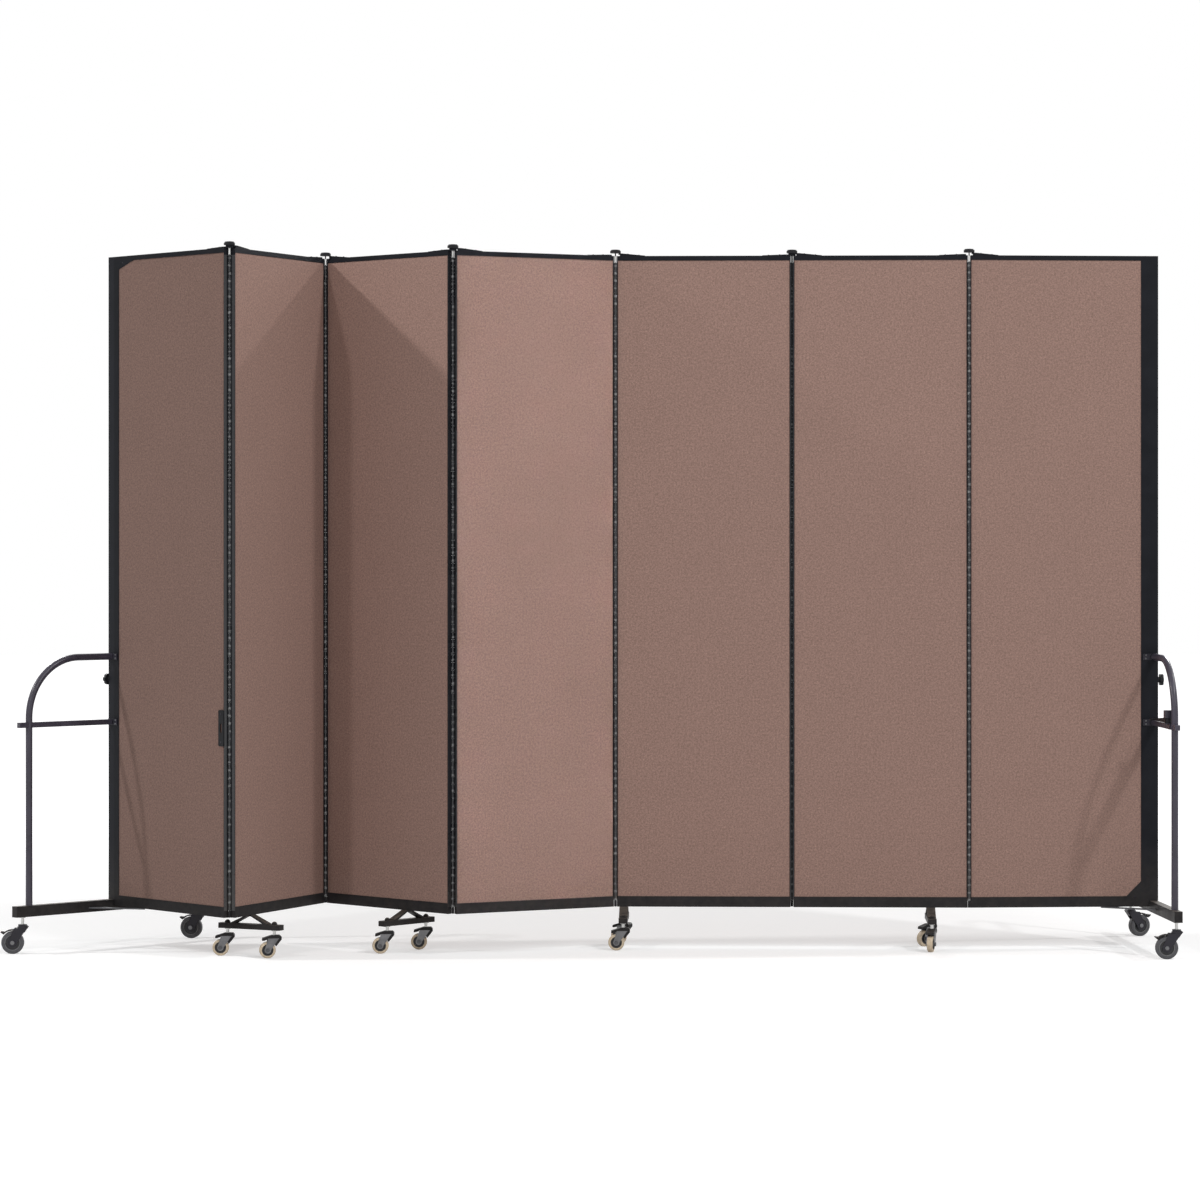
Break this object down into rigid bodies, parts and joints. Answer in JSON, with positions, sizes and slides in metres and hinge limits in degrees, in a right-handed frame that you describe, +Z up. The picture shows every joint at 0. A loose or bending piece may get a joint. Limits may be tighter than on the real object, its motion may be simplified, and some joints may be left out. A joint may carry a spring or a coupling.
{
  "type": "accordion folding partition",
  "caption": "Free-standing folding partition: fabric panels joined by full-length hinges, on swivel casters, with an arched, wheeled frame at each end.",
  "frame": {"origin": "on the floor, under the middle of the standing partition's bounding box", "axes": "+X to the right along the wall as pictured, +Y away from the viewer, +Z up"},
  "size_m": [3.7443, 0.7896, 2.2567],
  "materials": {
    "frame_black": "satin black powder coat",
    "hinge_black": "satin black",
    "fabric": "woven mauve-brown panel fabric",
    "tube_black": "gloss black tube",
    "latch_black": "moulded black nylon",
    "fork_black": "black zinc",
    "pedal_black": "moulded black nylon",
    "grey_tyre": "dark grey tread",
    "cream_tyre": "cream tread on a dark hub"
  },
  "bodies": {
    "panel_1": {"panel_1_frame": "frame_black", "panel_1_board": "fabric", "hinge_1_pin": "hinge_black", "left_post": "frame_black", "left_arch": "tube_black", "left_base_rail": "frame_black", "latch_plate": "latch_black"},
    "panel_2": {"panel_2_frame": "frame_black", "panel_2_board": "fabric", "hinge_2_pin": "hinge_black", "beam_2": "frame_black"},
    "panel_3": {"panel_3_frame": "frame_black", "panel_3_board": "fabric", "hinge_3_pin": "hinge_black", "beam_3": "frame_black"},
    "panel_4": {"panel_4_frame": "frame_black", "panel_4_board": "fabric", "hinge_4_pin": "hinge_black"},
    "panel_5": {"panel_5_frame": "frame_black", "panel_5_board": "fabric", "hinge_5_pin": "hinge_black", "beam_5": "frame_black"},
    "panel_6": {"panel_6_frame": "frame_black", "panel_6_board": "fabric", "hinge_6_pin": "hinge_black", "beam_6": "frame_black"},
    "panel_7": {"panel_7_frame": "frame_black", "panel_7_board": "fabric", "right_post": "frame_black", "right_arch": "tube_black", "right_base_rail": "frame_black"},
    "latch_arm": {"latch_arm": "latch_black"},
    "left_front_fork": {"left_front_fork": "fork_black"},
    "left_front_wheel": {"left_front_wheel": "grey_tyre"},
    "left_front_pedal": {"left_front_pedal": "pedal_black"},
    "left_rear_fork": {"left_rear_fork": "fork_black"},
    "left_rear_wheel": {"left_rear_wheel": "grey_tyre"},
    "left_rear_pedal": {"left_rear_pedal": "pedal_black"},
    "right_front_fork": {"right_front_fork": "fork_black"},
    "right_front_wheel": {"right_front_wheel": "grey_tyre"},
    "right_front_pedal": {"right_front_pedal": "pedal_black"},
    "right_rear_fork": {"right_rear_fork": "fork_black"},
    "right_rear_wheel": {"right_rear_wheel": "grey_tyre"},
    "right_rear_pedal": {"right_rear_pedal": "pedal_black"},
    "beam_2_front_fork": {"beam_2_front_fork": "fork_black"},
    "beam_2_front_wheel": {"beam_2_front_wheel": "cream_tyre"},
    "beam_2_rear_fork": {"beam_2_rear_fork": "fork_black"},
    "beam_2_rear_wheel": {"beam_2_rear_wheel": "cream_tyre"},
    "beam_3_front_fork": {"beam_3_front_fork": "fork_black"},
    "beam_3_front_wheel": {"beam_3_front_wheel": "cream_tyre"},
    "beam_3_rear_fork": {"beam_3_rear_fork": "fork_black"},
    "beam_3_rear_wheel": {"beam_3_rear_wheel": "cream_tyre"},
    "beam_5_front_fork": {"beam_5_front_fork": "fork_black"},
    "beam_5_front_wheel": {"beam_5_front_wheel": "cream_tyre"},
    "beam_5_rear_fork": {"beam_5_rear_fork": "fork_black"},
    "beam_5_rear_wheel": {"beam_5_rear_wheel": "cream_tyre"},
    "beam_6_front_fork": {"beam_6_front_fork": "fork_black"},
    "beam_6_front_wheel": {"beam_6_front_wheel": "cream_tyre"},
    "beam_6_rear_fork": {"beam_6_rear_fork": "fork_black"},
    "beam_6_rear_wheel": {"beam_6_rear_wheel": "cream_tyre"}
  },
  "joints": [
    {"name": "hinge_1", "type": "hinge", "parent": "panel_2", "child": "panel_1", "pos_m": [-1.12953, -0.38267, 1.1845], "axis": [0, 0, -1], "range_deg": [-111, 67]},
    {"name": "hinge_2", "type": "hinge", "parent": "panel_3", "child": "panel_2", "pos_m": [-0.86258, 0.12131, 1.1845], "axis": [0, 0, 1], "range_deg": [-107, 71]},
    {"name": "hinge_3", "type": "hinge", "parent": "panel_4", "child": "panel_3", "pos_m": [-0.43275, -0.25353, 1.1845], "axis": [0, 0, -1], "range_deg": [-70, 108]},
    {"name": "hinge_4", "type": "hinge", "parent": "panel_4", "child": "panel_5", "pos_m": [0.08375, -0.01168, 1.1845], "axis": [0, 0, -1], "range_deg": [-29, 149]},
    {"name": "hinge_5", "type": "hinge", "parent": "panel_5", "child": "panel_6", "pos_m": [0.65407, -0.01259, 1.1845], "axis": [0, 0, 1], "range_deg": [0, 178]},
    {"name": "hinge_6", "type": "hinge", "parent": "panel_6", "child": "panel_7", "pos_m": [1.22306, -0.05147, 1.1845], "axis": [0, 0, -1], "range_deg": [0, 184]},
    {"name": "latch_swing", "type": "hinge", "parent": "panel_7", "child": "latch_arm", "pos_m": [1.83033, -0.2922, 0.7475], "axis": [0, 0, 1], "range_deg": [0, 90]},
    {"name": "left_front_swivel", "type": "hinge", "parent": "panel_1", "child": "left_front_fork", "pos_m": [-1.80667, -0.19098, 0.089], "axis": [0, 0, 1], "continuous": true},
    {"name": "left_front_roll", "type": "hinge", "parent": "left_front_fork", "child": "left_front_wheel", "pos_m": [-1.83763, -0.19261, 0.036], "axis": [0.0523, -0.9986, 0], "continuous": true},
    {"name": "left_front_brake", "type": "hinge", "parent": "left_front_fork", "child": "left_front_pedal", "pos_m": [-1.8256, -0.19198, 0.07801], "axis": [-0.0523, 0.9986, 0], "range_deg": [0, 14]},
    {"name": "left_rear_swivel", "type": "hinge", "parent": "panel_1", "child": "left_rear_fork", "pos_m": [-1.28741, 0.29324, 0.089], "axis": [0, 0, 1], "continuous": true},
    {"name": "left_rear_roll", "type": "hinge", "parent": "left_rear_fork", "child": "left_rear_wheel", "pos_m": [-1.31811, 0.29755, 0.036], "axis": [-0.1392, -0.9903, 0], "continuous": true},
    {"name": "left_rear_brake", "type": "hinge", "parent": "left_rear_fork", "child": "left_rear_pedal", "pos_m": [-1.30618, 0.29587, 0.07801], "axis": [0.1392, 0.9903, 0], "range_deg": [0, 14]},
    {"name": "right_front_swivel", "type": "hinge", "parent": "panel_7", "child": "right_front_fork", "pos_m": [1.84769, -0.35413, 0.089], "axis": [0, 0, 1], "continuous": true},
    {"name": "right_front_roll", "type": "hinge", "parent": "right_front_fork", "child": "right_front_wheel", "pos_m": [1.81671, -0.35305, 0.036], "axis": [-0.0349, -0.9994, 0], "continuous": true},
    {"name": "right_front_brake", "type": "hinge", "parent": "right_front_fork", "child": "right_front_pedal", "pos_m": [1.82875, -0.35347, 0.07801], "axis": [0.0349, 0.9994, 0], "range_deg": [0, 14]},
    {"name": "right_rear_swivel", "type": "hinge", "parent": "panel_7", "child": "right_rear_fork", "pos_m": [1.79816, 0.35413, 0.089], "axis": [0, 0, 1], "continuous": true},
    {"name": "right_rear_roll", "type": "hinge", "parent": "right_rear_fork", "child": "right_rear_wheel", "pos_m": [1.82729, 0.36474, 0.036], "axis": [-0.342, 0.9397, 0], "continuous": true},
    {"name": "right_rear_brake", "type": "hinge", "parent": "right_rear_fork", "child": "right_rear_pedal", "pos_m": [1.81597, 0.36062, 0.07801], "axis": [0.342, -0.9397, 0], "range_deg": [0, 14]},
    {"name": "beam_2_front_swivel", "type": "hinge", "parent": "panel_2", "child": "beam_2_front_fork", "pos_m": [-0.99328, -0.32117, 0.068], "axis": [0, 0, 1], "continuous": true},
    {"name": "beam_2_front_roll", "type": "hinge", "parent": "beam_2_front_fork", "child": "beam_2_front_wheel", "pos_m": [-1.01495, -0.32499, 0.026], "axis": [0.1736, -0.9848, 0], "continuous": true},
    {"name": "beam_2_rear_swivel", "type": "hinge", "parent": "panel_2", "child": "beam_2_rear_fork", "pos_m": [-1.14787, -0.24577, 0.068], "axis": [0, 0, 1], "continuous": true},
    {"name": "beam_2_rear_roll", "type": "hinge", "parent": "beam_2_rear_fork", "child": "beam_2_rear_wheel", "pos_m": [-1.16987, -0.24577, 0.026], "axis": [0, -1, 0], "continuous": true},
    {"name": "beam_3_front_swivel", "type": "hinge", "parent": "panel_3", "child": "beam_3_front_fork", "pos_m": [-0.64415, -0.18698, 0.068], "axis": [0, 0, 1], "continuous": true},
    {"name": "beam_3_front_roll", "type": "hinge", "parent": "beam_3_front_fork", "child": "beam_3_front_wheel", "pos_m": [-0.66615, -0.18698, 0.026], "axis": [0, -1, 0], "continuous": true},
    {"name": "beam_3_rear_swivel", "type": "hinge", "parent": "panel_3", "child": "beam_3_rear_fork", "pos_m": [-0.52685, -0.06118, 0.068], "axis": [0, 0, 1], "continuous": true},
    {"name": "beam_3_rear_roll", "type": "hinge", "parent": "beam_3_rear_fork", "child": "beam_3_rear_wheel", "pos_m": [-0.54885, -0.06118, 0.026], "axis": [0, -1, 0], "continuous": true},
    {"name": "beam_5_front_swivel", "type": "hinge", "parent": "panel_5", "child": "beam_5_front_fork", "pos_m": [0.10806, -0.08908, 0.068], "axis": [0, 0, 1], "continuous": true},
    {"name": "beam_5_front_roll", "type": "hinge", "parent": "beam_5_front_fork", "child": "beam_5_front_wheel", "pos_m": [0.08606, -0.08908, 0.026], "axis": [0, -1, 0], "continuous": true},
    {"name": "beam_5_rear_swivel", "type": "hinge", "parent": "panel_5", "child": "beam_5_rear_fork", "pos_m": [0.11407, 0.08281, 0.068], "axis": [0, 0, 1], "continuous": true},
    {"name": "beam_5_rear_roll", "type": "hinge", "parent": "beam_5_rear_fork", "child": "beam_5_rear_wheel", "pos_m": [0.09501, 0.09381, 0.026], "axis": [-0.5, -0.866, 0], "continuous": true},
    {"name": "beam_6_front_swivel", "type": "hinge", "parent": "panel_6", "child": "beam_6_front_fork", "pos_m": [1.09746, -0.12363, 0.068], "axis": [0, 0, 1], "continuous": true},
    {"name": "beam_6_front_roll", "type": "hinge", "parent": "beam_6_front_fork", "child": "beam_6_front_wheel", "pos_m": [1.09177, -0.14488, 0.026], "axis": [0.9659, -0.2588, 0], "continuous": true},
    {"name": "beam_6_rear_swivel", "type": "hinge", "parent": "panel_6", "child": "beam_6_rear_fork", "pos_m": [1.10346, 0.04826, 0.068], "axis": [0, 0, 1], "continuous": true},
    {"name": "beam_6_rear_roll", "type": "hinge", "parent": "beam_6_rear_fork", "child": "beam_6_rear_wheel", "pos_m": [1.08544, 0.03565, 0.026], "axis": [0.5736, -0.8192, 0], "continuous": true}
  ],
  "couplings": [
    {"joint": "hinge_6", "follows": "hinge_5", "ratio": 1.0337}
  ]
}
